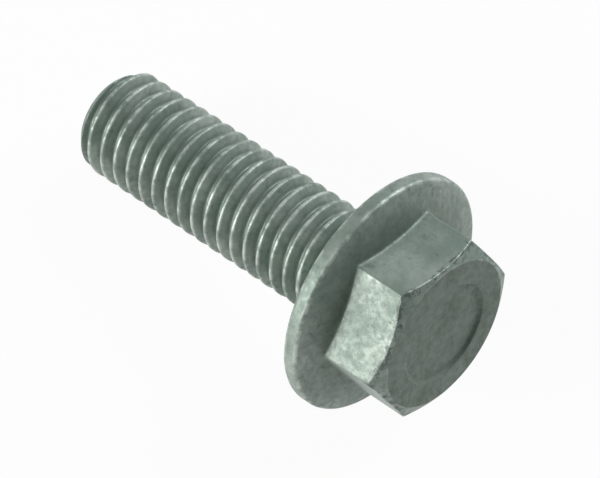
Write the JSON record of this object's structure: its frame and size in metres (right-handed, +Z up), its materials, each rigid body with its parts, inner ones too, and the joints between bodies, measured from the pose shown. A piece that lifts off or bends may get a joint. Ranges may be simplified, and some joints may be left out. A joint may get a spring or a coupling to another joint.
{
  "type": "flange bolt",
  "caption": "Hexagon head bolt with a round washer flange forged to the head and a fully threaded shank; clamps parts through a clearance hole.",
  "frame": {"origin": "centre of the flange's flat bearing face, on the bolt's axis", "axes": "the bolt lies on the edge of its flange and the tip of its thread on a floor parallel to XY: head towards +X, tip towards -X and dipped about 12.1 degrees below the horizontal, +Z up"},
  "size_m": [0.0328, 0.018, 0.0179],
  "materials": {
    "zinc_plate": "satin"
  },
  "bodies": {
    "root": {"flange_bolt": "zinc_plate"}
  },
  "joints": []
}
